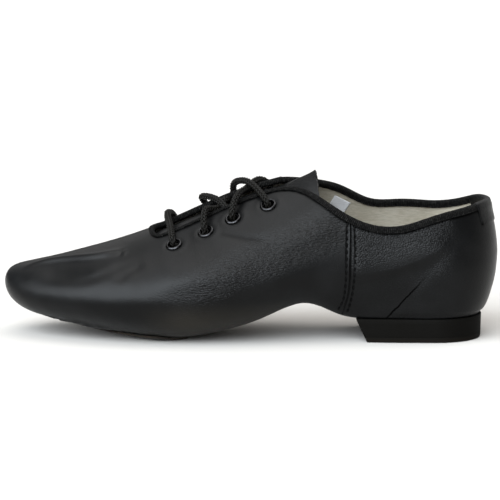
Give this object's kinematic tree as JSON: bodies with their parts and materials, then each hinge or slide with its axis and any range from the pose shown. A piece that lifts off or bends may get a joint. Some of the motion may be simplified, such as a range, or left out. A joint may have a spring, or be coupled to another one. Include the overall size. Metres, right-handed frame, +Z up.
{
  "type": "split-sole jazz shoe",
  "caption": "Low lace-up dance shoe for the left foot: soft leather upper with a bound collar, tongue, thin forefoot sole and separate low block heel.",
  "frame": {"origin": "on the floor, under the middle of the shoe's box", "axes": "+Z up, -X towards the toe, -Y towards the outer side of the left foot"},
  "size_m": [0.2546, 0.0854, 0.0855],
  "materials": {
    "leather": "satin black, fine grain",
    "tape": "matt black woven ribbon",
    "lining": "matt pale beige",
    "rubber": "matt black",
    "suede": "dark brown suede",
    "metal": "dark grey, glossy",
    "lace": "matt black braid"
  },
  "bodies": {
    "root": {"upper": "leather", "insole": "lining", "forefoot_sole": "suede", "heel": "rubber", "tongue": "leather", "collar_binding": "tape", "back_tab": "leather", "eyelet_outer_1": "metal", "eyelet_outer_2": "metal", "eyelet_outer_3": "metal", "eyelet_outer_4": "metal", "eyelet_inner_1": "metal", "eyelet_inner_2": "metal", "eyelet_inner_3": "metal", "eyelet_inner_4": "metal", "lace_bar": "lace", "lace_cross_low": "lace", "lace_cross_high": "lace"}
  },
  "joints": []
}
